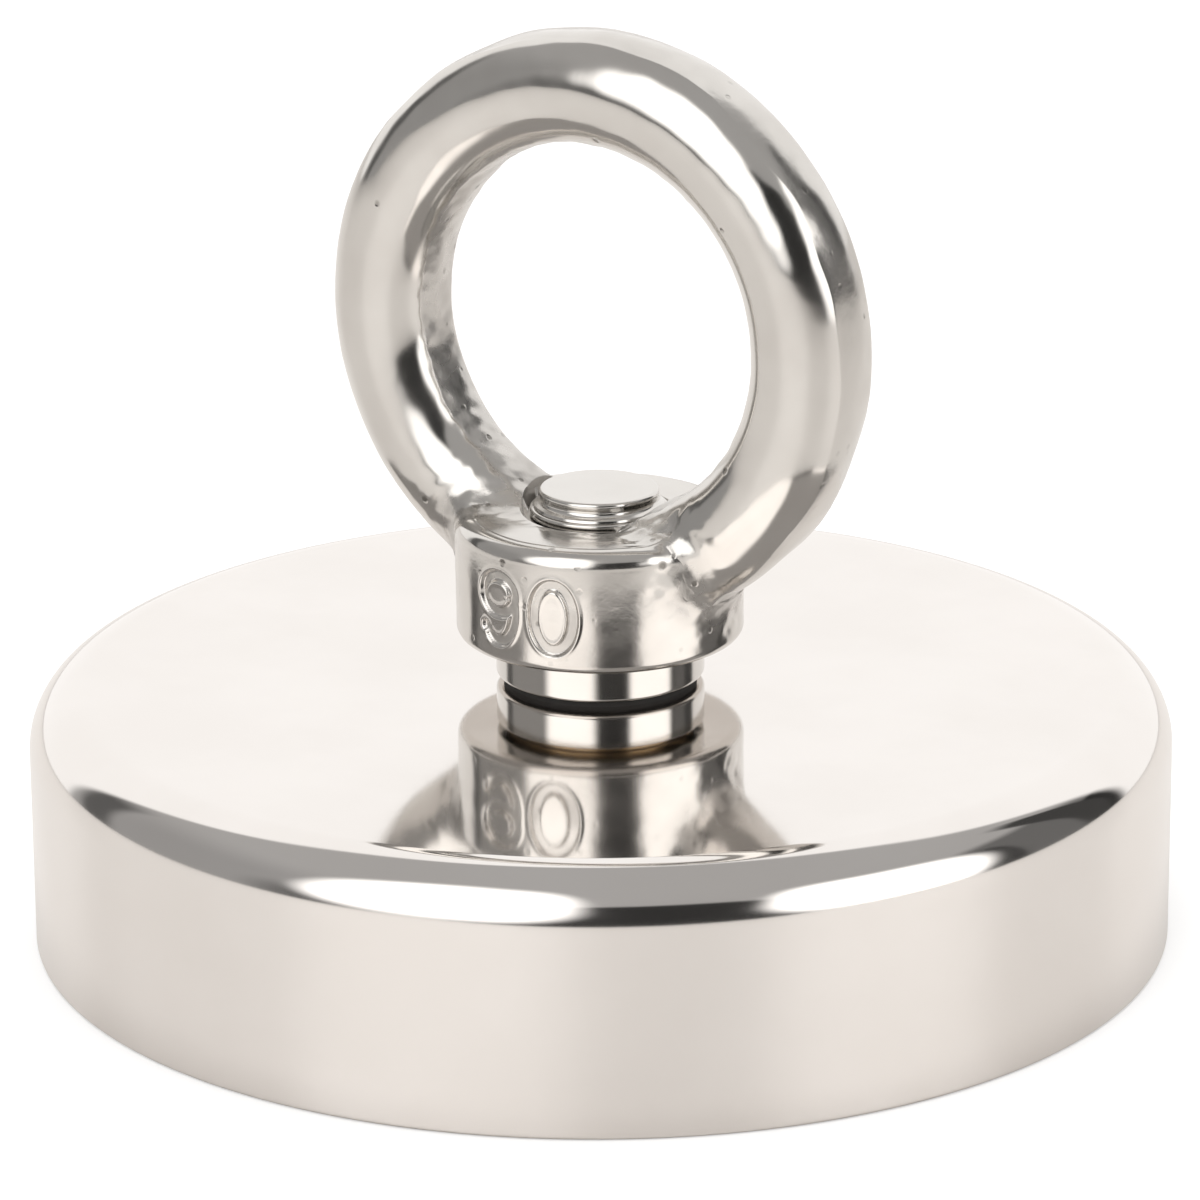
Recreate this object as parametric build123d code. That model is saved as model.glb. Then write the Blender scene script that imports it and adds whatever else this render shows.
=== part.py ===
"""Magnet fishing magnet: a steel pot magnet with a cast eye that swivels on a collared stud.

Millimetres, +Z up. The origin is the centre of the working face, on the plane of the steel rim,
so the magnet rests on its face. The eye's ring stands in the XZ plane.
"""

from build123d import *
from math import radians, sqrt, tan
import os

# --- Steel pot: a turned cup, open downwards --------------------------------------------------
plate_diameter = 90.0
plate_height = 20.4
plate_top_round = 4.5
plate_foot_round = 0.4
rim_width = 7.0  # steel wall between the magnets' pocket and the outside

# --- Magnets: a ring of arc segments set in resin ---------------------------------------------
segment_count = 8
segment_thickness = 10.0
segment_joint = 0.3  # resin between neighbours
segment_chamfer = 0.25
face_recess = 0.3  # magnets and resin sit this far inside the rim's plane
back_film = 0.2  # resin between the magnets and the pot's floor
potting_gap = 2.0  # resin between the magnets and the rim
magnet_bore = 24.0
sleeve_clearance = 0.05
sleeve_wall = 1.2

# --- Stud's fastening inside the pot ----------------------------------------------------------
thread_diameter = 10.0
thread_end_chamfer = 1.0
thread_past_nut = 0.8
stud_hole_clearance = 0.25
washer_bore_clearance = 0.2
nut_across_flats = 16.0
nut_height = 5.0
nut_corner_angle = 30.0  # chamfer of the corners on the free face
plain_washer_diameter = 20.0
plain_washer_thickness = 1.5
spring_washer_diameter = 18.0
spring_washer_thickness = 2.2
spring_washer_slit = 1.4
spring_washer_slant = 25.0  # slit's angle from the washer's axis

# --- Stud's collar and what lies on either side of it -----------------------------------------
seal_thickness = 0.5
seal_inset = 0.6  # its edge lies this far inside the collar's
collar_diameter = 16.4
collar_height = 2.8
collar_chamfer = 0.4
wear_ring_diameter = 14.8
wear_ring_thickness = 0.4
axial_play = 0.1  # under the eye's boss, and again over it

# --- Journal that the eye turns on, washer, and riveted head ----------------------------------
journal_diameter = 8.0
journal_clearance = 0.05
tenon_diameter = 6.0
head_washer_diameter = 10.9
head_washer_thickness = 0.6
head_washer_chamfer = 0.2
head_diameter = 9.6
head_thickness = 1.5
head_round = 0.3

# --- Cast eye: a ring on a round boss ---------------------------------------------------------
boss_diameter = 22.6
boss_height = 9.9
boss_top_round = 1.3
boss_foot_round = 0.8
seat_diameter = 12.0  # spot face that the head's washer turns on
seat_depth = 0.3
ring_bore = 28.8
ring_wire = 9.2
ring_rise = 0.6  # lowest point of the ring's bore over the boss

# --- Radii and levels that follow from the sizes above ----------------------------------------
plate_radius = plate_diameter / 2
pocket_radius = plate_radius - rim_width
pocket_depth = face_recess + segment_thickness + back_film
segment_outer = pocket_radius - potting_gap
segment_inner = magnet_bore / 2
segment_angle = 360 / segment_count
sleeve_outer = segment_inner - sleeve_clearance
sleeve_inner = sleeve_outer - sleeve_wall

thread_radius = thread_diameter / 2
stud_hole_radius = thread_radius + stud_hole_clearance
washer_bore_radius = thread_radius + washer_bore_clearance
plain_washer_low = pocket_depth - plain_washer_thickness
spring_washer_low = plain_washer_low - spring_washer_thickness
nut_low = spring_washer_low - nut_height
stud_end = nut_low - thread_past_nut

collar_low = plate_height + seal_thickness
collar_top = collar_low + collar_height
wear_ring_top = collar_top + wear_ring_thickness
boss_low = wear_ring_top + axial_play
boss_top = boss_low + boss_height
seat_level = boss_top - seat_depth
journal_top = seat_level + axial_play
head_low = journal_top + head_washer_thickness
head_top = head_low + head_thickness

collar_radius = collar_diameter / 2
journal_radius = journal_diameter / 2
tenon_radius = tenon_diameter / 2
boss_radius = boss_diameter / 2
wire_radius = ring_wire / 2
ring_mean_radius = ring_bore / 2 + wire_radius
ring_centre = boss_top + ring_rise + ring_bore / 2
overcut = 1.0  # how far a cutting tool runs past what it cuts


def rod(radius, low, high):
    """An upright cylinder on the Z axis between two levels."""
    upward = (Align.CENTER, Align.CENTER, Align.MIN)
    return Pos(0, 0, low) * Cylinder(radius, high - low, align=upward)


def tube(outer, inner, low, high):
    """An upright ring on the Z axis between two levels."""
    return rod(outer, low, high) - rod(inner, low - overcut, high + overcut)


def rim_at(shape, level):
    """The largest round edge of a turned piece at one level."""
    near = 0.01
    circles = shape.edges().filter_by(GeomType.CIRCLE)
    return circles.filter_by_position(Axis.Z, level - near, level + near).sort_by(SortBy.RADIUS)[-1]


def build_pot():
    """Turned steel cup: rounded shoulder, pocket from below, hole for the stud."""
    pot = rod(plate_radius, 0, plate_height)
    pot = fillet(rim_at(pot, plate_height), plate_top_round)
    pot = fillet(rim_at(pot, 0), plate_foot_round)
    pot -= rod(pocket_radius, -overcut, pocket_depth)
    pot -= rod(stud_hole_radius, 0, plate_height + overcut)
    return pot


def build_segments():
    """Arc magnets, all alike, with chamfered edges and a resin joint between neighbours."""
    top = face_recess + segment_thickness
    segment = tube(segment_outer, segment_inner, face_recess, top)
    reach = 2 * segment_outer
    for side in (-1, 1):
        beyond = Pos(0, side * (reach - segment_joint) / 2, top) * Box(2 * reach, reach, reach)
        segment -= Rot(0, 0, side * segment_angle / 2) * beyond
    segment = chamfer(segment.edges(), segment_chamfer)
    return [Rot(0, 0, number * segment_angle) * segment for number in range(segment_count)]


def build_potting(segments):
    """Resin round, behind and between the magnets, out to the rim and in to the sleeve."""
    potting = tube(pocket_radius, sleeve_outer, face_recess, pocket_depth)
    for segment in segments:
        potting -= segment
    return potting


def build_sleeve():
    """Brass sleeve that lines the magnets' bore and keeps the nut clear of them."""
    return tube(sleeve_outer, sleeve_inner, face_recess, pocket_depth)


def build_plain_washer():
    """Flat washer against the pot's floor."""
    return tube(plain_washer_diameter / 2, washer_bore_radius, plain_washer_low, pocket_depth)


def build_spring_washer():
    """Split washer, tightened flat: a square-section ring with a slanting slit."""
    ring_radius = spring_washer_diameter / 2
    ring = tube(ring_radius, washer_bore_radius, spring_washer_low, plain_washer_low)
    middle = (spring_washer_low + plain_washer_low) / 2
    slit = Box(spring_washer_slit, spring_washer_diameter, 4 * spring_washer_thickness)
    return ring - Pos(0, ring_radius, middle) * Rot(0, spring_washer_slant, 0) * slit


def build_nut():
    """Hexagon nut, its corners chamfered on the free face."""
    flat_radius = nut_across_flats / 2
    corner_radius = nut_across_flats / sqrt(3)
    drop = (corner_radius - flat_radius) * tan(radians(nut_corner_angle))
    turned = Pos(0, 0, drop / 2) * Cone(flat_radius, corner_radius, drop)
    turned += rod(corner_radius, drop, nut_height)
    hexagon = extrude(RegularPolygon(corner_radius, 6), nut_height)
    return Pos(0, 0, nut_low) * (hexagon & turned) - rod(thread_radius, 0, pocket_depth)


def build_plug(stud, nut):
    """Resin that fills the sleeve round nut and washers, flush with the magnets."""
    plug = rod(sleeve_inner, face_recess, pocket_depth)
    plug -= rod(plain_washer_diameter / 2, plain_washer_low, pocket_depth)
    plug -= rod(spring_washer_diameter / 2, spring_washer_low, plain_washer_low)
    return plug - nut - stud


def build_seal():
    """Fibre washer between collar and pot, which keeps water out of the stud's hole."""
    return tube(collar_radius - seal_inset, washer_bore_radius, plate_height, collar_low)


def build_stud():
    """Turned stud: thread, collar, journal, and a tenon whose end is riveted into a round head."""
    thread = rod(thread_radius, stud_end, collar_low)
    thread = chamfer(rim_at(thread, stud_end), thread_end_chamfer)
    collar = rod(collar_radius, collar_low, collar_top)
    collar = chamfer(rim_at(collar, collar_low), collar_chamfer)
    journal = rod(journal_radius, collar_top, journal_top)
    tenon = rod(tenon_radius, journal_top, head_low)
    head = rod(head_diameter / 2, head_low, head_top)
    head = fillet(rim_at(head, head_top), head_round)
    return thread + collar + journal + tenon + head


def build_wear_ring():
    """Bronze ring on the foot of the journal, between collar and boss."""
    return tube(wear_ring_diameter / 2, journal_radius, collar_top, wear_ring_top)


def build_head_washer():
    """Hard washer clamped between the journal's shoulder and the head."""
    washer = tube(head_washer_diameter / 2, tenon_radius, journal_top, head_low)
    return chamfer(rim_at(washer, head_low), head_washer_chamfer)


def build_eye():
    """Cast eye: ring and boss in one, bored for the journal and spot-faced for the washer."""
    boss = rod(boss_radius, boss_low, boss_top)
    boss = fillet(rim_at(boss, boss_low), boss_foot_round)
    boss = fillet(rim_at(boss, boss_top), boss_top_round)
    eye = boss + Pos(0, 0, ring_centre) * Rot(90, 0, 0) * Torus(ring_mean_radius, wire_radius)
    eye -= rod(seat_diameter / 2, seat_level, ring_centre)
    return eye - rod(journal_radius + journal_clearance, boss_low - overcut, ring_centre)


def build_all():
    """Every sub-part, by the name of its node."""
    segments = build_segments()
    stud = build_stud()
    nut = build_nut()
    parts = {f"magnet_segment_{number + 1}": segment for number, segment in enumerate(segments)}
    parts["steel_pot"] = build_pot()
    parts["potting_resin"] = build_potting(segments)
    parts["centre_sleeve"] = build_sleeve()
    parts["plain_washer"] = build_plain_washer()
    parts["spring_washer"] = build_spring_washer()
    parts["stud_nut"] = nut
    parts["centre_plug"] = build_plug(stud, nut)
    parts["collar_seal"] = build_seal()
    parts["swivel_stud"] = stud
    parts["wear_ring"] = build_wear_ring()
    parts["head_washer"] = build_head_washer()
    parts["swivel_eye"] = build_eye()
    return parts


def main():
    os.makedirs("parts", exist_ok=True)
    for name, shape in build_all().items():
        export_step(shape, f"parts/{name}.step")


main()
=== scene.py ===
import bpy
import numpy as np
from mathutils import Euler, Matrix, Vector


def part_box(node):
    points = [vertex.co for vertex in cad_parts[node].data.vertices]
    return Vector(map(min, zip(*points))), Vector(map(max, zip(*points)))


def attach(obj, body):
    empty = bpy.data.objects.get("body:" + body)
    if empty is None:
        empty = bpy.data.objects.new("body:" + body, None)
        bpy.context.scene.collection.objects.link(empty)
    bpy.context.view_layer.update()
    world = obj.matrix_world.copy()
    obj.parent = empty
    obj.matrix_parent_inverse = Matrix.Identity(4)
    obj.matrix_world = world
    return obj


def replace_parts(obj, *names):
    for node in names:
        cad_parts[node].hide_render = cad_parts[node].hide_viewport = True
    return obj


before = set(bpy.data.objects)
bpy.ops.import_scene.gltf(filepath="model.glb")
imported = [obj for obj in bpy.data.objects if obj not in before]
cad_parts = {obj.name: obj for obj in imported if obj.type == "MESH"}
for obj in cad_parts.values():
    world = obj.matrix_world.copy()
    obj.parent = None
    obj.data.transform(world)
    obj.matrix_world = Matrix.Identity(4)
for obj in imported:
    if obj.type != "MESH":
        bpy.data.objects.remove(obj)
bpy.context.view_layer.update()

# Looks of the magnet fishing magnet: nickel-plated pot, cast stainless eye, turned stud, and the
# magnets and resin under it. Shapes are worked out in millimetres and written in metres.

MM = 0.001


def box_mm(node):
    """Lowest and highest corner of a CAD node, in millimetres."""
    low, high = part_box(node)
    return np.array(low) / MM, np.array(high) / MM


# --- Places and sizes from the frame ----------------------------------------------------------
pot_high = box_mm("steel_pot")[1]
resin_high = box_mm("potting_resin")[1]
seal_high = box_mm("collar_seal")[1]
stud_low, stud_high = box_mm("swivel_stud")
wear_low = box_mm("wear_ring")[0]
washer_low, washer_high = box_mm("head_washer")
eye_low, eye_high = box_mm("swivel_eye")

plate_radius, plate_top = pot_high[0], pot_high[2]
pocket_radius, pocket_top = resin_high[0], resin_high[2]
collar_radius, collar_low, collar_top = stud_high[0], seal_high[2], wear_low[2]
head_low, head_top = washer_high[2], stud_high[2]
boss_radius, boss_low = eye_high[1], eye_low[2]
ring_outer, ring_top = eye_high[0], eye_high[2]
ring_centre = ring_top - ring_outer

# --- Sizes of the looks -----------------------------------------------------------------------
plate_top_round = 4.5
plate_foot_round = 0.4
pocket_edge_round = 0.15
stud_hole_radius = 5.25

collar_edge = 0.35
thread_radius = 5.0
thread_pitch = 1.5
thread_depth = 0.45
journal_radius = 4.0
tenon_radius = 3.0
head_radius = 4.8
head_lip = 0.3
head_waist = 4.55
head_flare = 5.2

wire_radius = 4.6
ring_radius = ring_outer - wire_radius
boss_top = 34.1
boss_top_round = 1.3
boss_foot_round = 0.8
boss_bore_radius = 4.05
seat_radius = 6.0
seat_depth = 0.3
land_height = 0.05  # the boss's top face stands this proud inside its edge line
land_inset = 0.12
root_blend = 1.8  # how far from the corner between ring and boss the casting is filled
outer_band_angle = np.radians(31)  # half width of the ground band on the ring's outside
inner_band_angle = np.radians(27)
band_flatness = 0.55  # 1 would grind the band to a flat chord
ring_start_angle = 0.26  # from straight down, where the ring's ends sit inside the boss
root_zone_angle = 1.1  # up to here the ring's mesh is denser
band_edge = (0.42, 0.62)  # a band's rough skin fades out between these angles from its middle
seat_clearance = 0.02
fillet_limit = 0.45  # the most that a fillet rises, as a share of root_blend
fillet_rounds = 8
buried_beyond = 1.2  # deeper than this inside the other shape, nothing is filled
bury_depth = 0.06  # past the fillet's middle each surface dips this far under the other

# Depths of the casting's unevenness
boss_wave = 0.014
ring_wave = 0.018
ripple = 0.006
root_wave = 0.05
root_ripple = 0.02
parting_wave = 0.03
ring_root_reach = 5.0
boss_root_reach = 4.0

# Mesh counts and steps
pot_columns = 512
stud_columns = 256
washer_columns = 192
ring_root_rows = 150
ring_rows = 300
ring_columns = 176
boss_step = 0.11
digit_columns = 190
boss_columns = 330

digit_height = 6.1
digit_stroke = 0.86
digit_width = 4.1
digit_pitch = 5.0
digit_depth = 0.34
digit_edge = 0.16
digit_lip = 0.05
digit_lip_width = 0.14
digit_margin = 1.65  # denser mesh reaches this far past the digits
nine_bowl = 0.56  # height of the nine's bowl, as a share of its own
nine_tip = (-0.86, -0.62)  # where its tail ends, in shares of its half width and height
digit_level = 28.7  # height of the digits' middle


# --- Mesh helpers -----------------------------------------------------------------------------
def waves(points, wavelength, seed, count=14):
    """Smooth random field from about -1 to 1: a sum of sine waves in random directions, whose
    lengths lie round the given wavelength."""
    random = np.random.default_rng(seed)
    direction = random.normal(size=(count, 3))
    direction /= np.linalg.norm(direction, axis=1)[:, None]
    number = 2 * np.pi / (wavelength * random.uniform(0.7, 1.5, count))
    phase = random.uniform(0, 2 * np.pi, count)
    total = np.sin(points @ (direction * number[:, None]).T + phase).sum(-1)
    return total / np.sqrt(count / 2) / 1.4


def ramp(value, low, high):
    """Smooth step from 0 at low to 1 at high."""
    share = np.clip((value - low) / (high - low), 0, 1)
    return share * share * (3 - 2 * share)


def grid_faces(rows, columns):
    """Quads of a grid of points whose columns close on themselves."""
    row = np.arange(rows - 1)[:, None]
    column = np.arange(columns)[None]
    after = (column + 1) % columns
    first, second = row * columns, (row + 1) * columns
    corners = (first + column, first + after, second + after, second + column)
    return np.stack(np.broadcast_arrays(*corners), -1).reshape(-1, 4)


def cap_faces(first, columns, centre, turned):
    """Triangles from one closed row of points to a centre point."""
    column = np.arange(columns)
    after = (column + 1) % columns
    fan = np.stack([first + column, first + after, np.full(columns, centre)], -1)
    return fan[:, ::-1] if turned else fan


def make_piece(name, points, faces, body, material, attributes=None):
    """A smooth mesh object from points in millimetres, riding on a body."""
    mesh = bpy.data.meshes.new(name)
    mesh.from_pydata(points * MM, [], [face.tolist() for group in faces for face in group])
    mesh.polygons.foreach_set("use_smooth", np.ones(len(mesh.polygons), bool))
    for key, values in (attributes or {}).items():
        layer = mesh.attributes.new(key, "FLOAT", "POINT")
        layer.data.foreach_set("value", values.astype(np.float32))
    mesh.materials.append(material)
    mesh.update()
    piece = bpy.data.objects.new(name, mesh)
    bpy.context.scene.collection.objects.link(piece)
    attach(piece, body)
    return piece


def outline(corners, arc_steps=9, edge=0.04):
    """Profile through corners (radius, height, rounding): each corner becomes an arc, and each
    straight run gets two close points beside its ends, so that flat faces shade flat."""
    spots = np.array([corner[:2] for corner in corners], float)
    rounds = [corner[2] for corner in corners]
    path = []
    for index, (spot, radius) in enumerate(zip(spots, rounds)):
        if index in (0, len(spots) - 1) or radius == 0:
            path.append(spot[None])
            continue
        back = spots[index - 1] - spot
        ahead = spots[index + 1] - spot
        back, ahead = back / np.linalg.norm(back), ahead / np.linalg.norm(ahead)
        half = np.arccos(np.clip(back @ ahead, -1, 1)) / 2
        middle = (back + ahead) / np.linalg.norm(back + ahead)
        centre = spot + middle * radius / np.sin(half)
        start, end = spot + back * radius / np.tan(half), spot + ahead * radius / np.tan(half)
        share = np.linspace(0, 1, arc_steps)[:, None]
        sweep = np.pi - 2 * half
        arm = (start - centre) * np.sin((1 - share) * sweep) + (end - centre) * np.sin(share * sweep)
        path.append(centre + arm / np.sin(sweep))
    points = []
    for index, piece in enumerate(path):
        points.append(piece)
        if index + 1 < len(path):
            run = path[index + 1][0] - piece[-1]
            length = np.linalg.norm(run)
            inset = min(edge, length / 4)
            points.append(piece[-1] + run * np.array([[inset], [length - inset]]) / length)
    return np.concatenate(points)


def subdivided(profile, longest):
    """The profile with extra points, so that no step is longer than given."""
    out = [profile[:1]]
    for start, end in zip(profile[:-1], profile[1:]):
        steps = max(1, int(np.ceil(np.linalg.norm(end - start) / longest)))
        out.append(start + (end - start) * np.arange(1, steps + 1)[:, None] / steps)
    return np.concatenate(out)


def turned_grid(profile, angles):
    """Points of a turned surface: the profile carried round the Z axis."""
    radius, height = profile[:, :1], profile[:, 1:]
    level = height + 0 * angles
    return np.stack([radius * np.cos(angles), radius * np.sin(angles), level], -1)


def turned_piece(name, profile, body, material, columns):
    """A turned piece. Its profile runs anticlockwise round the material in the (radius, height)
    half plane; an end on the axis becomes a single point, and an open profile is joined up."""
    angles = np.linspace(0, 2 * np.pi, columns, endpoint=False)
    on_axis = profile[:, 0] < 1e-9
    rows = profile[~on_axis]
    closed = not on_axis.any()
    if closed:
        rows = np.concatenate([rows, rows[:1]])
    points = turned_grid(rows, angles)
    if closed:
        faces = grid_faces(len(rows), columns) % ((len(rows) - 1) * columns)
        flat = points[:-1].reshape(-1, 3)
        return make_piece(name, flat, [faces], body, material)
    flat = points.reshape(-1, 3)
    ends = np.array([[0, 0, profile[0, 1]], [0, 0, profile[-1, 1]]])
    flat = np.concatenate([flat, ends])
    last = (len(rows) - 1) * columns
    caps = [
        cap_faces(0, columns, len(flat) - 2, True),
        cap_faces(last, columns, len(flat) - 1, False),
    ]
    return make_piece(name, flat, [grid_faces(len(rows), columns), *caps], body, material)


# --- Shader helpers ---------------------------------------------------------------------------
def node(tree, kind, wires=None, **settings):
    """A shader node with its settings, its inputs set or wired."""
    made = tree.nodes.new("ShaderNode" + kind)
    for key, value in settings.items():
        setattr(made, key, value)
    for key, value in (wires or {}).items():
        if isinstance(value, bpy.types.NodeSocket):
            tree.links.new(value, made.inputs[key])
        else:
            made.inputs[key].default_value = value
    return made


def calc(tree, operation, *values):
    """One step of arithmetic on sockets or numbers."""
    return node(tree, "Math", dict(enumerate(values)), operation=operation).outputs[0]


def remap(tree, value, low, high, to_low=0.0, to_high=1.0, smooth=True):
    """A value carried from one range to another, held at its ends."""
    wires = {"Value": value, "From Min": low, "From Max": high, "To Min": to_low, "To Max": to_high}
    kind = "SMOOTHSTEP" if smooth else "LINEAR"
    return node(tree, "MapRange", wires, interpolation_type=kind).outputs[0]


def cloud(tree, place, scale, detail=3.0, rough=0.55):
    """Noise from 0 to 1 at a place; scale is in features per metre."""
    wires = {"Vector": place, "Scale": scale, "Detail": detail, "Roughness": rough}
    return node(tree, "TexNoise", wires).outputs[0]


def stretched(tree, place, x, y, z):
    """The place with its axes stretched, for grain that runs one way."""
    return node(tree, "Mapping", {"Vector": place, "Scale": (x, y, z)}).outputs[0]


def tint(tree, factor, first, second):
    """A colour between two, each a socket or three numbers, by a factor."""
    first, second = (
        end if isinstance(end, bpy.types.NodeSocket) else (*end, 1.0) for end in (first, second)
    )
    return node(tree, "Mix", {0: factor, 6: first, 7: second}, data_type="RGBA").outputs[2]


def start_material(name):
    """An empty material: its tree, its principled shader, and object coordinates."""
    material = bpy.data.materials.new(name)
    material.use_nodes = True
    tree = material.node_tree
    shader = tree.nodes["Principled BSDF"]
    place = node(tree, "TexCoord").outputs["Object"]
    return material, tree, shader, place


def bump(tree, shader, *layers):
    """Adds layers of (height, depth in metres) to a shader's normal."""
    normal = None
    for height, depth in layers:
        wires = {"Height": height, "Distance": depth, "Strength": 1.0}
        if normal is not None:
            wires["Normal"] = normal
        normal = node(tree, "Bump", wires).outputs[0]
    tree.links.new(normal, shader.inputs["Normal"])


def pits(tree, place, scale, size, share):
    """Small round pits, 1 inside: the cells nearest to their centre, in a share of the cells."""
    cells = node(tree, "TexVoronoi", {"Vector": place, "Scale": scale})
    inside = remap(tree, cells.outputs["Distance"], size, size * 0.5)
    chosen = node(tree, "SeparateColor", {0: cells.outputs["Color"]}).outputs[0]
    return calc(tree, "MULTIPLY", inside, calc(tree, "LESS_THAN", chosen, share))


def polished_nickel():
    """Bright nickel plating over polished steel: mirror top, slightly softer side."""
    material, tree, shader, place = start_material("polished_nickel")
    height = node(tree, "SeparateXYZ", {0: place}).outputs[2]
    side = remap(tree, height, (plate_top - 1.2) * MM, (plate_top - plate_top_round) * MM)
    smear = cloud(tree, place, 60, 4)
    hair = cloud(tree, place, 900, 2)
    rough = calc(tree, "MULTIPLY_ADD", side, 0.07, 0.055)
    rough = calc(tree, "MULTIPLY_ADD", remap(tree, smear, 0.35, 0.75), 0.03, rough)
    tree.links.new(rough, shader.inputs["Roughness"])
    colour = tint(tree, remap(tree, smear, 0.3, 0.7), (0.83, 0.80, 0.775), (0.80, 0.768, 0.74))
    tree.links.new(colour, shader.inputs["Base Color"])
    shader.inputs["Metallic"].default_value = 1.0
    bump(tree, shader, (cloud(tree, place, 160, 1), 3e-6), (hair, 4e-7))
    return material


def cast_stainless():
    """Cast stainless, hand polished: soft mirror with faint lines, small pits, rough where the
    rough_cast attribute says so."""
    material, tree, shader, place = start_material("cast_stainless")
    cast = node(tree, "Attribute", attribute_name="rough_cast").outputs["Fac"]
    broad = cloud(tree, place, 130, 3)
    fine = cloud(tree, place, 1500, 3)
    lines = cloud(tree, stretched(tree, place, 2600, 2600, 320), 1.0, 3)
    rough = calc(tree, "MULTIPLY_ADD", remap(tree, broad, 0.3, 0.75), 0.09, 0.10)
    rough = calc(tree, "MULTIPLY_ADD", cast, 0.16, rough)
    rough = calc(tree, "MULTIPLY_ADD", calc(tree, "MULTIPLY", cast, fine), 0.15, rough)
    tree.links.new(rough, shader.inputs["Roughness"])
    bright = tint(tree, remap(tree, broad, 0.3, 0.7), (0.70, 0.68, 0.65), (0.655, 0.63, 0.60))
    colour = tint(tree, calc(tree, "MULTIPLY", cast, 0.5), bright, (0.52, 0.50, 0.475))
    holes = pits(tree, place, 520, 0.24, 0.045)
    more = pits(tree, place, 900, 0.30, 0.16)
    holes = calc(tree, "MAXIMUM", holes, calc(tree, "MULTIPLY", more, cast))
    worn = tint(tree, calc(tree, "MULTIPLY", holes, 0.7), (1, 1, 1), (0.25, 0.24, 0.22))
    wires = {0: 1.0, 6: colour, 7: worn}
    colour = node(tree, "Mix", wires, data_type="RGBA", blend_type="MULTIPLY").outputs[2]
    tree.links.new(colour, shader.inputs["Base Color"])
    shader.inputs["Metallic"].default_value = 1.0
    grain = calc(tree, "MULTIPLY", fine, cast)
    bump(tree, shader, (lines, 1.2e-6), (grain, 4e-5), (calc(tree, "MULTIPLY", holes, -1.0), 5e-5))
    return material


def turned_metal(name, light, dark, rough, groove):
    """Lathe-turned metal: fine grooves that follow the radius and the height."""
    material, tree, shader, place = start_material(name)
    parts = node(tree, "SeparateXYZ", {0: place}).outputs
    squares = [calc(tree, "POWER", parts[axis], 2.0) for axis in (0, 1)]
    across = calc(tree, "SQRT", calc(tree, "ADD", *squares))
    along = calc(tree, "ADD", calc(tree, "MULTIPLY", across, 1.3), parts[2])
    wires = {"W": along, "Scale": 9000.0, "Detail": 3.0}
    lines = node(tree, "TexNoise", wires, noise_dimensions="1D").outputs[0]
    smear = cloud(tree, place, 240, 4)
    tree.links.new(tint(tree, smear, light, dark), shader.inputs["Base Color"])
    tree.links.new(calc(tree, "MULTIPLY_ADD", smear, 0.08, rough), shader.inputs["Roughness"])
    shader.inputs["Metallic"].default_value = 1.0
    bump(tree, shader, (lines, groove))
    return material


def plated_magnet():
    """Sintered magnet under satin nickel, with fine cloudy wear."""
    material, tree, shader, place = start_material("plated_magnet")
    wear = cloud(tree, place, 180, 5, 0.65)
    fine = cloud(tree, place, 2600, 2)
    colour = tint(tree, remap(tree, wear, 0.3, 0.75), (0.74, 0.72, 0.69), (0.60, 0.585, 0.56))
    tree.links.new(colour, shader.inputs["Base Color"])
    tree.links.new(remap(tree, wear, 0.3, 0.8, 0.20, 0.40), shader.inputs["Roughness"])
    shader.inputs["Metallic"].default_value = 1.0
    bump(tree, shader, (fine, 6e-6))
    return material


def black_resin():
    """Poured black epoxy: glossy, with a slightly uneven skin and specks of dust."""
    material, tree, shader, place = start_material("black_resin")
    skin = cloud(tree, place, 220, 3)
    dust = pits(tree, place, 1400, 0.22, 0.10)
    colour = tint(tree, calc(tree, "MULTIPLY", dust, 0.35), (0.016, 0.016, 0.018), (0.16, 0.155, 0.15))
    tree.links.new(colour, shader.inputs["Base Color"])
    tree.links.new(remap(tree, skin, 0.3, 0.7, 0.22, 0.38), shader.inputs["Roughness"])
    bump(tree, shader, (skin, 6e-5))
    return material


def black_seal_painted_shade():
    """Near-black fibre washer with a matt, felted skin; its black is partly painted shade, standing in for
    the shadowed gap under the collar.
    """
    material, tree, shader, place = start_material("black_seal_painted_shade")
    felt = cloud(tree, place, 3500, 4, 0.7)
    colour = tint(tree, felt, (0.012, 0.011, 0.010), (0.035, 0.032, 0.03))
    tree.links.new(colour, shader.inputs["Base Color"])
    tree.links.new(remap(tree, felt, 0.2, 0.8, 0.6, 0.85), shader.inputs["Roughness"])
    bump(tree, shader, (felt, 3e-5))
    return material


# --- Pieces -----------------------------------------------------------------------------------
def make_pot(material):
    """Turned cup: foot, side, rounded shoulder, flat top with the stud's hole, and the pocket."""
    profile = outline([
        (pocket_radius, pocket_top, 0), (pocket_radius, 0, pocket_edge_round),
        (plate_radius, 0, plate_foot_round), (plate_radius, plate_top, plate_top_round),
        (stud_hole_radius, plate_top, 0), (stud_hole_radius, pocket_top, 0),
        (pocket_radius, pocket_top, 0),
    ], arc_steps=22)
    piece = turned_piece("pot_shell", profile[:-1], "magnet", material, pot_columns)
    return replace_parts(piece, "steel_pot")


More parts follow.
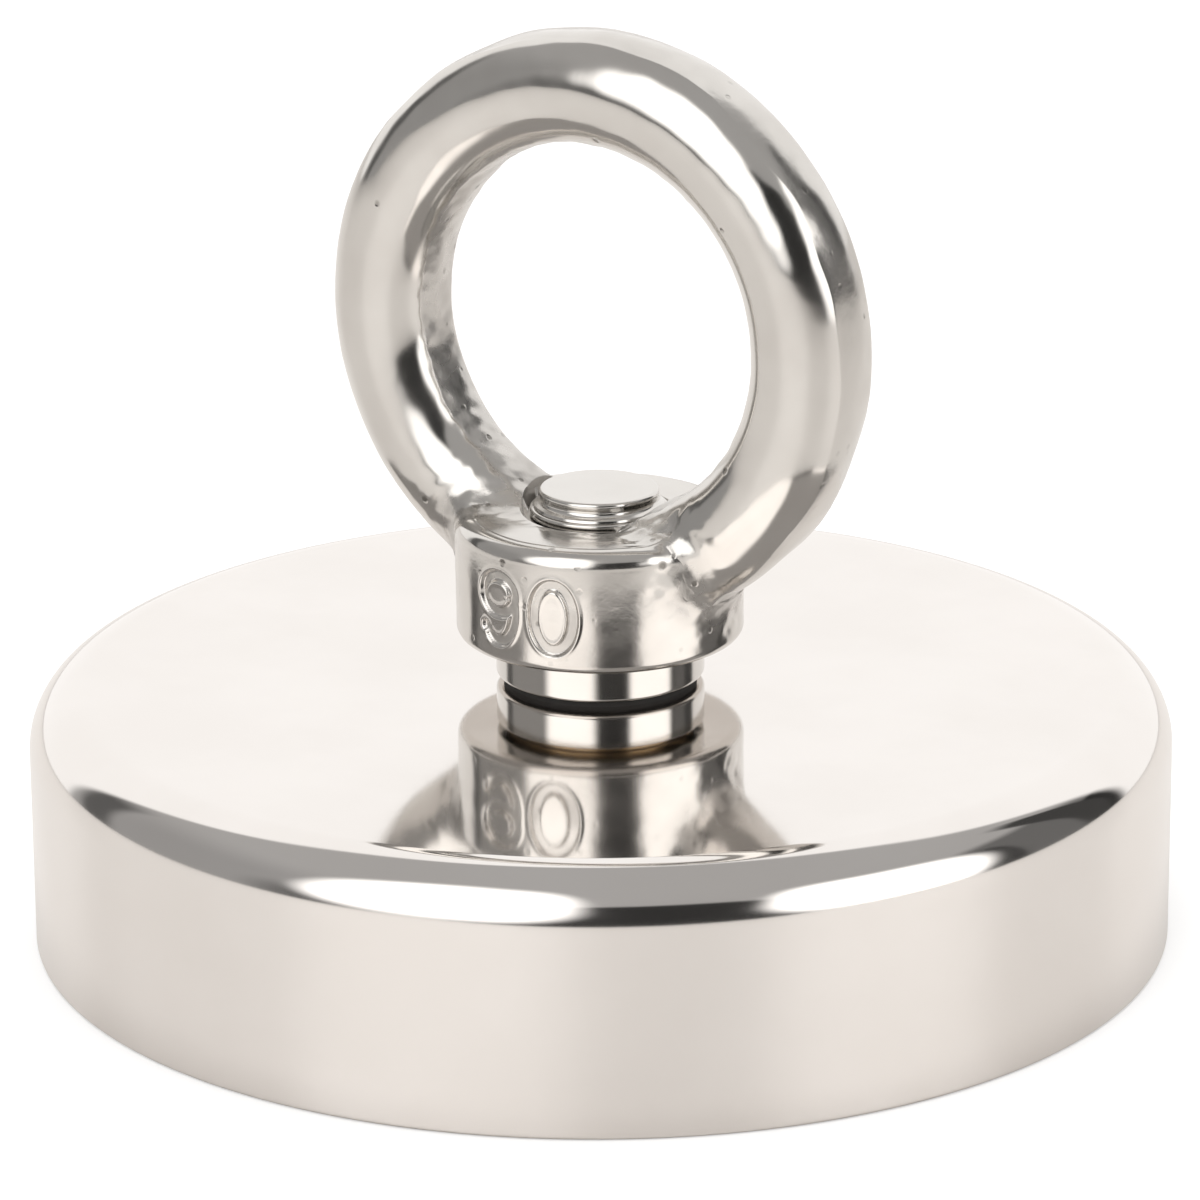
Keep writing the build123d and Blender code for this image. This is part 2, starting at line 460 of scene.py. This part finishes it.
def make_stud(material):
    """Turned stud in one piece: thread as ridges, collar, journal, tenon and riveted head."""
    low = stud_low[2]
    ridges = np.arange(low + 1, plate_top - 1, thread_pitch / 2)
    radii = thread_radius - thread_depth * (np.arange(len(ridges)) % 2)
    teeth = [(radius, level, 0) for radius, level in zip(radii, ridges)]
    profile = outline([
        (0, low, 0), (thread_radius - 1, low, 0.1), *teeth,
        (thread_radius, collar_low - 0.3, 0), (thread_radius, collar_low, 0),
        (collar_radius, collar_low, collar_edge), (collar_radius, collar_top, 0.15),
        (journal_radius, collar_top, 0), (journal_radius, washer_low[2], 0),
        (tenon_radius, washer_low[2], 0), (tenon_radius, head_low, 0),
        (head_flare, head_low, 0.06), (head_flare - 0.1, head_low + 0.25, 0.1),
        (head_waist, head_low + 0.55, 0.4), (head_radius, head_top, head_lip), (0, head_top, 0),
    ])
    piece = turned_piece("stud_turned", profile, "magnet", material, stud_columns)
    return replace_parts(piece, "swivel_stud")


def make_washer(material):
    """Washer under the head, with broken edges."""
    inner, outer, low, high = tenon_radius, washer_high[0], washer_low[2], washer_high[2]
    profile = outline([
        (inner, high, 0), (inner, low, 0.05), (outer, low, 0.08),
        (outer, high, 0.18), (inner, high, 0),
    ])
    piece = turned_piece("head_washer_ring", profile[:-1], "magnet", material, washer_columns)
    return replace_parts(piece, "head_washer")


def ring_wire_radius(around, points):
    """Radius of the ring's wire round its centre line: round, ground flatter in a band along
    the outside and along the inside, where the casting's parting line was."""
    radius = np.full_like(around, wire_radius)
    wave = waves(points, 9.0, 11)
    for middle, width, seed in ((0.0, outer_band_angle, 21), (np.pi, inner_band_angle, 22)):
        away = np.abs((around - middle + np.pi) % (2 * np.pi) - np.pi)
        half = width * (1 + 0.10 * waves(points, 7.0, seed))
        chord = wire_radius * np.cos(half) / np.cos(np.minimum(away, half))
        flat = band_flatness * (1 + 0.25 * wave)
        radius = np.where(away < half, radius - flat * (wire_radius - chord), radius)
    return radius


def boss_distance(points):
    """Signed distance from the boss taken as a rounded cylinder, negative inside."""
    out = np.hypot(points[..., 0], points[..., 1]) - (boss_radius - boss_top_round)
    middle, half = (boss_low + boss_top) / 2, (boss_top - boss_low) / 2
    up = np.abs(points[..., 2] - middle) - (half - boss_top_round)
    corner = np.hypot(np.maximum(out, 0), np.maximum(up, 0))
    return corner + np.minimum(np.maximum(out, up), 0) - boss_top_round


def ring_distance(points):
    """Signed distance from the ring taken as a plain torus, negative inside."""
    across = np.hypot(points[..., 0], points[..., 2] - ring_centre) - ring_radius
    return np.hypot(across, points[..., 1]) - wire_radius


def filled(points, normals, other):
    """Moves points out along their normals to the fillet between their own surface and another.
    The fillet is the smooth union of both distances. Past its middle the surface dips under the
    other one, so that the two meshes cross along one line."""
    rise = np.zeros(points.shape[:-1])
    for _ in range(fillet_rounds):
        gap = other(points + rise[..., None] * normals)
        near = np.maximum(root_blend - np.abs(rise - gap), 0)
        level = np.minimum(rise, gap) - near**2 / (4 * root_blend)
        dip = bury_depth * ramp(rise - gap, 0.0, 0.5)
        rise = np.clip(rise - (level + dip), 0, root_blend * fillet_limit)
    gap = other(points)
    return np.where(gap > -buried_beyond, rise, 0.0), gap


def casting_waves(points, gap, broad, reach):
    """Unevenness of a hand-polished casting: long shallow waves, and deeper short ones that
    fade out at a given reach from the root."""
    near_root = ramp(gap, reach, 0.0)
    uneven = broad * waves(points, 7.0, 31) + ripple * waves(points, 2.6, 32)
    deeper = root_wave * waves(points, 2.2, 33) + root_ripple * waves(points, 1.1, 34)
    return uneven + near_root * deeper


def make_ring(material):
    """The ring: a wire section carried round a circle in the XZ plane. Its ends reach into the
    boss, and its roots are filled. The middle of the boss is spot-faced through it."""
    dense = np.linspace(ring_start_angle, root_zone_angle, ring_root_rows)
    coarse = np.linspace(root_zone_angle, 2 * np.pi - root_zone_angle, ring_rows)[1:-1]
    turns = np.concatenate([dense, coarse, 2 * np.pi - dense[::-1]])
    around = np.linspace(0, 2 * np.pi, ring_columns, endpoint=False)
    turn, around = np.meshgrid(turns, around, indexing="ij")
    outward = np.stack([np.sin(turn), 0 * turn, -np.cos(turn)], -1)
    sideways = np.array([0.0, 1.0, 0.0])
    line = np.array([0, 0, ring_centre]) + ring_radius * outward
    normals = np.cos(around)[..., None] * outward + np.sin(around)[..., None] * sideways
    points = line + wire_radius * normals
    radius = ring_wire_radius(around, points)
    points = line + radius[..., None] * normals
    rise, gap = filled(points, normals, boss_distance)
    from_outside = np.abs((around + np.pi) % (2 * np.pi) - np.pi)
    full, none = band_edge
    inner = ramp(from_outside, np.pi - none, np.pi - full)
    outer = ramp(from_outside, none, full)
    uneven = casting_waves(points, gap, ring_wave, ring_root_reach)
    uneven += inner * parting_wave * waves(points, 1.6, 35)
    points = points + (rise + uneven)[..., None] * normals
    out = np.hypot(points[..., 0], points[..., 1])
    cut = seat_radius + seat_clearance
    low = points[..., 2] < ring_centre
    push = np.where((out < cut) & low, cut / np.maximum(out, 1e-6), 1.0)
    points[..., :2] *= push[..., None]
    rough = np.clip(0.75 * inner + 0.35 * outer + 0.8 * ramp(gap, 3.0, 0.3), 0, 1)
    rough *= 0.6 + 0.4 * ramp(waves(points, 3.0, 41), -0.6, 0.6)
    rows, columns = turn.shape
    flat = points.reshape(-1, 3)
    ends = np.stack([points[0].mean(0), points[-1].mean(0)])
    flat = np.concatenate([flat, ends])
    rough = np.concatenate([rough.ravel(), [0, 0]])
    caps = [
        cap_faces(0, columns, len(flat) - 2, False),
        cap_faces((rows - 1) * columns, columns, len(flat) - 1, True),
    ]
    faces = [grid_faces(rows, columns)[:, ::-1], *caps]
    return make_piece("eye_ring", flat, faces, "eye", material, {"rough_cast": rough})


def oval(x, y, centre_x, centre_y, half_width, half_height):
    """Distance from an oval's line, to first order."""
    across, up = (x - centre_x) / half_width, (y - centre_y) / half_height
    radius = np.hypot(across, up)
    slope = np.hypot(across / half_width, up / half_height) / np.maximum(radius, 1e-6)
    return np.abs(radius - 1) / np.maximum(slope, 1e-6)


def digit_nine(x, y):
    """Distance from the middle line of a nine: an oval over a curved tail."""
    wide, high = (digit_width - digit_stroke) / 2, (digit_height - digit_stroke) / 2
    bowl_high = high * nine_bowl
    bowl = oval(x, y, 0, high - bowl_high, wide, bowl_high)
    tail = oval(x, y, 0, 0, wide, high)
    tip_x, tip_y = wide * nine_tip[0], high * nine_tip[1]
    keep = (x > 0) & (y < high - bowl_high) | (y < tip_y)
    tail = np.where(keep & (x > tip_x), tail, np.hypot(x - tip_x, y - tip_y))
    return np.minimum(bowl, tail)


def digit_zero(x, y):
    """Distance from the middle line of a nought: one oval."""
    return oval(x, y, 0, 0, (digit_width - digit_stroke) / 2, (digit_height - digit_stroke) / 2)


def engraving(along, height):
    """Depth of the size number 90 on the boss's side, and how far a point is inside a stroke."""
    up = height - digit_level
    nine, zero = digit_nine(along + digit_pitch / 2, up), digit_zero(along - digit_pitch / 2, up)
    away = np.minimum(nine, zero)
    inside = digit_stroke / 2 - away
    depth = digit_depth * ramp(inside, -digit_edge / 2, digit_edge / 2)
    lip = digit_lip * np.exp(-((inside + digit_edge) / digit_lip_width) ** 2)
    return depth - lip, ramp(inside, 0, digit_edge)


def make_boss(material):
    """The boss: a turned body with a raised land on top, spot face and bore, filled towards the
    ring, with recessed digits on the side that faces -Y."""
    edge = boss_radius - boss_top_round
    seat_level = boss_top - seat_depth
    body = outline([
        (boss_bore_radius, seat_level, 0), (boss_bore_radius, boss_low, 0.15),
        (boss_radius, boss_low, boss_foot_round),
        (boss_radius, boss_top - land_height, boss_top_round + 0.1),
        (edge, boss_top - land_height, 0), (edge - land_inset, boss_top, 0.04),
        (seat_radius, boss_top, 0.08), (seat_radius, seat_level, 0.05),
        (boss_bore_radius, seat_level, 0),
    ], arc_steps=12)
    profile = subdivided(body[:-1], boss_step)
    reach = (digit_pitch / 2 + digit_width / 2 + digit_margin) / boss_radius
    dense = np.linspace(-reach, reach, digit_columns)
    coarse = np.linspace(reach, 2 * np.pi - reach, boss_columns)[1:-1]
    angles = np.concatenate([dense, coarse]) - np.pi / 2
    loop = np.concatenate([profile, profile[:1]])
    points = turned_grid(loop, angles)
    step = np.gradient(loop, axis=0)
    normal_out, normal_up = step[:, 1], -step[:, 0]
    size = np.hypot(normal_out, normal_up) + 1e-9
    normal_out, normal_up = (normal_out / size)[:, None], (normal_up / size)[:, None]
    level = normal_up + 0 * angles
    normals = np.stack([normal_out * np.cos(angles), normal_out * np.sin(angles), level], -1)
    rise, gap = filled(points, normals, ring_distance)
    radius = np.hypot(points[..., 0], points[..., 1])
    outside = ramp(radius, seat_radius - seat_clearance, seat_radius + 0.25)
    side = ramp(radius, boss_radius - 0.05, boss_radius - 0.01)
    turn = np.arctan2(points[..., 1], points[..., 0]) + np.pi / 2
    along = boss_radius * ((turn + np.pi) % (2 * np.pi) - np.pi)
    depth, inside = engraving(along, points[..., 2])
    uneven = casting_waves(points, gap, boss_wave, boss_root_reach)
    points = points + (outside * (rise + uneven) - side * depth)[..., None] * normals
    rough = np.clip(0.85 * side * inside + 0.8 * ramp(gap, 2.5, 0.2) + 0.25 * side, 0, 1)
    rough *= outside * (0.6 + 0.4 * ramp(waves(points, 3.0, 41), -0.6, 0.6))
    rows, columns = points.shape[:2]
    faces = grid_faces(rows, columns) % ((rows - 1) * columns)
    flat = points[:-1].reshape(-1, 3)
    attributes = {"rough_cast": rough[:-1].ravel()}
    piece = make_piece("eye_boss", flat, [faces], "eye", material, attributes)
    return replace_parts(piece, "swivel_eye")


def paint_nodes(material, *names):
    """CAD nodes that keep their shape take a finish."""
    for name in names:
        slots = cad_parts[name].data.materials
        slots.clear()
        slots.append(material)


# --- Studio -----------------------------------------------------------------------------------
camera_azimuth = np.radians(31.8)
camera_distance = 10.31 * plate_radius * MM  # measured along the floor
camera_height = 4.032 * plate_radius * MM
camera_tilt = np.radians(18.45)
camera_roll = np.radians(-0.37)
camera_lens = 186.85
floor_gap = 0.00003

away = np.array([-np.sin(camera_azimuth), np.cos(camera_azimuth), 0.0])
rightward = np.array([np.cos(camera_azimuth), np.sin(camera_azimuth), 0.0])


def make_camera():
    """Long lens from the front left of the ring, looking a little down."""
    data = bpy.data.cameras.new("camera")
    data.lens = camera_lens
    data.sensor_width = 36.0
    camera = bpy.data.objects.new("camera", data)
    turn = Euler((np.pi / 2 - camera_tilt, 0, camera_azimuth)).to_matrix().to_4x4()
    place = Vector(-away * camera_distance) + Vector((0, 0, camera_height))
    camera.matrix_world = Matrix.Translation(place) @ turn @ Matrix.Rotation(camera_roll, 4, "Z")
    bpy.context.scene.collection.objects.link(camera)
    bpy.context.scene.camera = camera


def card(tree, direction, below, azimuth, elevation, half_width, half_height, blur, light, power, tilt):
    """One studio card or dark gap, laid over what is below it: a rounded rectangle of the
    surroundings, in degrees from straight ahead of the camera and over the horizon."""
    turn = np.radians(azimuth)
    ahead = away * np.cos(turn) + rightward * np.sin(turn)
    side = rightward * np.cos(turn) - away * np.sin(turn)
    dots = [
        node(tree, "VectorMath", {0: direction, 1: tuple(axis)}, operation="DOT_PRODUCT").outputs["Value"]
        for axis in (side, ahead, (0, 0, 1))
    ]
    across = calc(tree, "ARCTAN2", dots[0], dots[1])
    up = calc(tree, "SUBTRACT", calc(tree, "ARCSINE", dots[2]), np.radians(elevation))
    cosine, sine = np.cos(np.radians(tilt)), np.sin(np.radians(tilt))
    first = calc(tree, "MULTIPLY_ADD", across, cosine, calc(tree, "MULTIPLY", up, sine))
    second = calc(tree, "MULTIPLY_ADD", across, -sine, calc(tree, "MULTIPLY", up, cosine))
    shares = []
    for value, half in ((first, half_width), (second, half_height)):
        share = calc(tree, "ABSOLUTE", calc(tree, "DIVIDE", value, np.radians(half)))
        shares.append(calc(tree, "POWER", share, power))
    reach = calc(tree, "POWER", calc(tree, "ADD", *shares), 1 / power)
    inside = remap(tree, reach, 1 + blur, 1 - blur)
    return node(tree, "Mix", {0: inside, 2: below, 3: light}, data_type="FLOAT").outputs[0]


def make_world():
    """A studio of soft cards round the object. Camera rays see plain white."""
    world = bpy.data.worlds.new("studio")
    world.use_nodes = True
    bpy.context.scene.world = world
    tree = world.node_tree
    tree.nodes.clear()
    direction = node(tree, "TexCoord").outputs["Generated"]
    level = remap(tree, node(tree, "SeparateXYZ", {0: direction}).outputs[2], 0.1, 0.95, 0.42, 0.46)
    # azimuth, elevation, half width, half height, blur, light, power, tilt
    for setting in (
        (-95, 12, 40, 26, 0.5, 0.36, 3, 0),
        (171, 0, 39, 37, 0.05, 0.035, 2.6, 0),
        (-125, 6, 14, 16, 0.6, 0.14, 2, 0),
        (80, 8, 22, 28, 0.12, 0.16, 5, 0),
        (95, 10, 5, 20, 0.15, 0.05, 5, 0),
        (57, 10, 12, 14, 0.10, 0.03, 3, 20),
        (67, 22, 5.5, 22, 0.15, 0.06, 4, 0),
        (-61, 14, 5.5, 18, 0.4, 0.12, 4, -14),
        (-146, 33, 29, 31, 0.16, 1.9, 2.8, 0),
        (122, 20, 25, 24, 0.14, 1.9, 2.6, 14),
        (2, 14, 55, 43, 0.04, 1.12, 6, 0),
    ):
        level = card(tree, direction, level, *setting)
    seen = node(tree, "LightPath").outputs["Is Camera Ray"]
    studio = node(tree, "Background", {"Color": (1.0, 0.985, 0.97, 1.0), "Strength": level})
    white = node(tree, "Background", {"Color": (1.0, 1.0, 1.0, 1.0), "Strength": 1.0})
    shown = node(tree, "MixShader", {0: seen, 1: studio.outputs[0], 2: white.outputs[0]})
    node(tree, "OutputWorld", {"Surface": shown.outputs[0]})


def make_floor():
    """White floor. The camera sees it lifted to white, with the object's shadow on it; other
    rays see warm pale paint with a soft sheen."""
    mesh = bpy.data.meshes.new("floor")
    half = 4.0
    corners = [(-half, -half, 0), (half, -half, 0), (half, half, 0), (-half, half, 0)]
    mesh.from_pydata(corners, [], [(0, 1, 2, 3)])
    floor = bpy.data.objects.new("floor", mesh)
    floor.location.z = -floor_gap
    bpy.context.scene.collection.objects.link(floor)
    material = bpy.data.materials.new("floor_white")
    material.use_nodes = True
    tree = material.node_tree
    tree.nodes.clear()
    path = node(tree, "LightPath").outputs
    paint = node(tree, "BsdfDiffuse", {"Color": (0.78, 0.755, 0.73, 1.0)})
    lift = node(tree, "Emission", {"Color": (1.0, 1.0, 1.0, 1.0), "Strength": 0.46})
    plain = node(tree, "BsdfDiffuse", {"Color": (0.60, 0.60, 0.60, 1.0)})
    bright = node(tree, "AddShader", {0: plain.outputs[0], 1: lift.outputs[0]})
    sheen = node(tree, "BsdfAnisotropic", {"Color": (1, 1, 1, 1), "Roughness": 0.42})
    glossy = node(tree, "MixShader", {0: 0.16, 1: paint.outputs[0], 2: sheen.outputs[0]})
    shown = node(tree, "MixShader", {0: path["Is Camera Ray"], 1: glossy.outputs[0], 2: bright.outputs[0]})
    node(tree, "OutputMaterial", {"Surface": shown.outputs[0]})
    mesh.materials.append(material)


def make_lamp():
    """Large overhead lamp for the matt surfaces and the floor's soft shadow."""
    data = bpy.data.lights.new("overhead", "AREA")
    data.shape = "DISK"
    data.size = 0.9
    data.energy = 6.0
    lamp = bpy.data.objects.new("overhead", data)
    lamp.location = (0.0, 0.0, 1.1)
    lamp.visible_glossy = False
    bpy.context.scene.collection.objects.link(lamp)


def main():
    nickel = polished_nickel()
    stainless = cast_stainless()
    turned = turned_metal("turned_stainless", (0.72, 0.70, 0.675), (0.66, 0.64, 0.61), 0.10, 3e-6)
    bronze = turned_metal("bronze", (0.62, 0.44, 0.25), (0.50, 0.34, 0.18), 0.25, 4e-6)
    brass = turned_metal("brass", (0.74, 0.58, 0.32), (0.66, 0.50, 0.26), 0.24, 4e-6)
    zinc = turned_metal("zinc_plate", (0.66, 0.66, 0.65), (0.58, 0.58, 0.58), 0.28, 4e-6)
    magnet = plated_magnet()
    resin = black_resin()
    make_pot(nickel)
    make_stud(turned)
    make_washer(turned)
    make_ring(stainless)
    make_boss(stainless)
    paint_nodes(magnet, *(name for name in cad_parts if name.startswith("magnet_segment")))
    paint_nodes(resin, "potting_resin", "centre_plug")
    paint_nodes(brass, "centre_sleeve")
    paint_nodes(bronze, "wear_ring")
    paint_nodes(zinc, "plain_washer", "spring_washer", "stud_nut")
    # The collar seal's near-black finish is partly painted shade: it fills the shadowed gap under the
    # collar with black.
    paint_nodes(black_seal_painted_shade(), "collar_seal")
    make_camera()
    make_world()
    make_floor()
    make_lamp()
    scene = bpy.context.scene
    scene.view_settings.view_transform = "Standard"


main()
